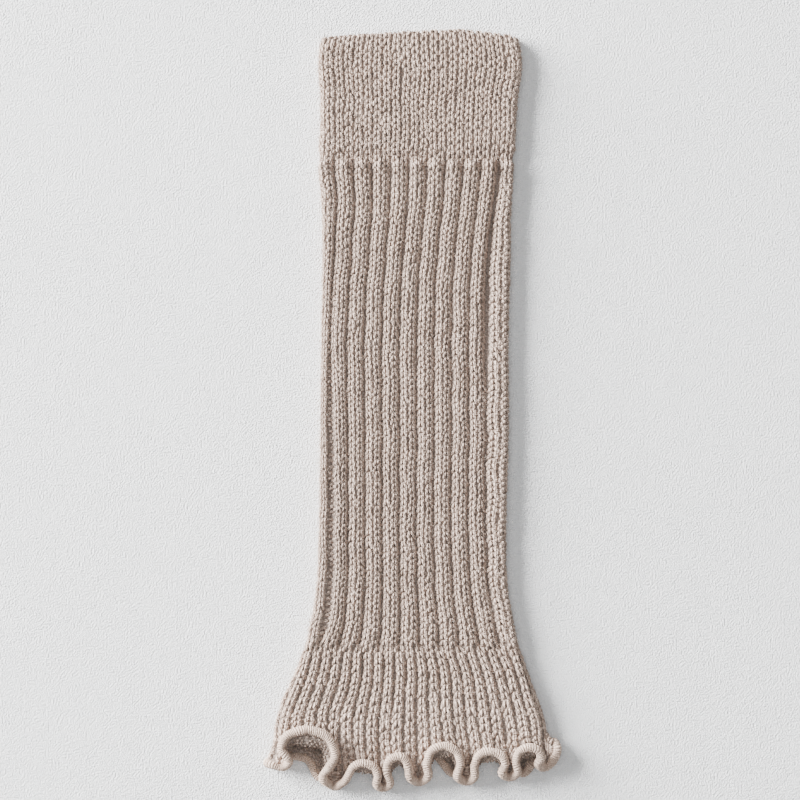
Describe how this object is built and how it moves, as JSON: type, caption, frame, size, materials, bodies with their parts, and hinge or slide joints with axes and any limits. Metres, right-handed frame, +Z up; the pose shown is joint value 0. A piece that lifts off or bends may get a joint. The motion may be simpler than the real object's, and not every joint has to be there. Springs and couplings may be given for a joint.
{
  "type": "leg warmer",
  "caption": "Knitted wool leg warmer laid flat: plain doubled cuff, ribbed leg, flared hem and a curly overlocked lettuce edge.",
  "frame": {"origin": "middle of the footprint on the surface that the leg warmer lies on", "axes": "+Y along the tube to the cuff, -Y to the flared hem, +X to the side of the front's last wale, +Z up out of the front layer"},
  "size_m": [0.157, 0.4024, 0.0161],
  "materials": {
    "greige_knit": "matte melange wool knit",
    "pale_overlock_thread": "matte wrapped thread"
  },
  "bodies": {
    "root": {"cuff": "greige_knit", "leg": "greige_knit", "flare": "greige_knit", "lettuce_edge": "pale_overlock_thread"}
  },
  "joints": []
}
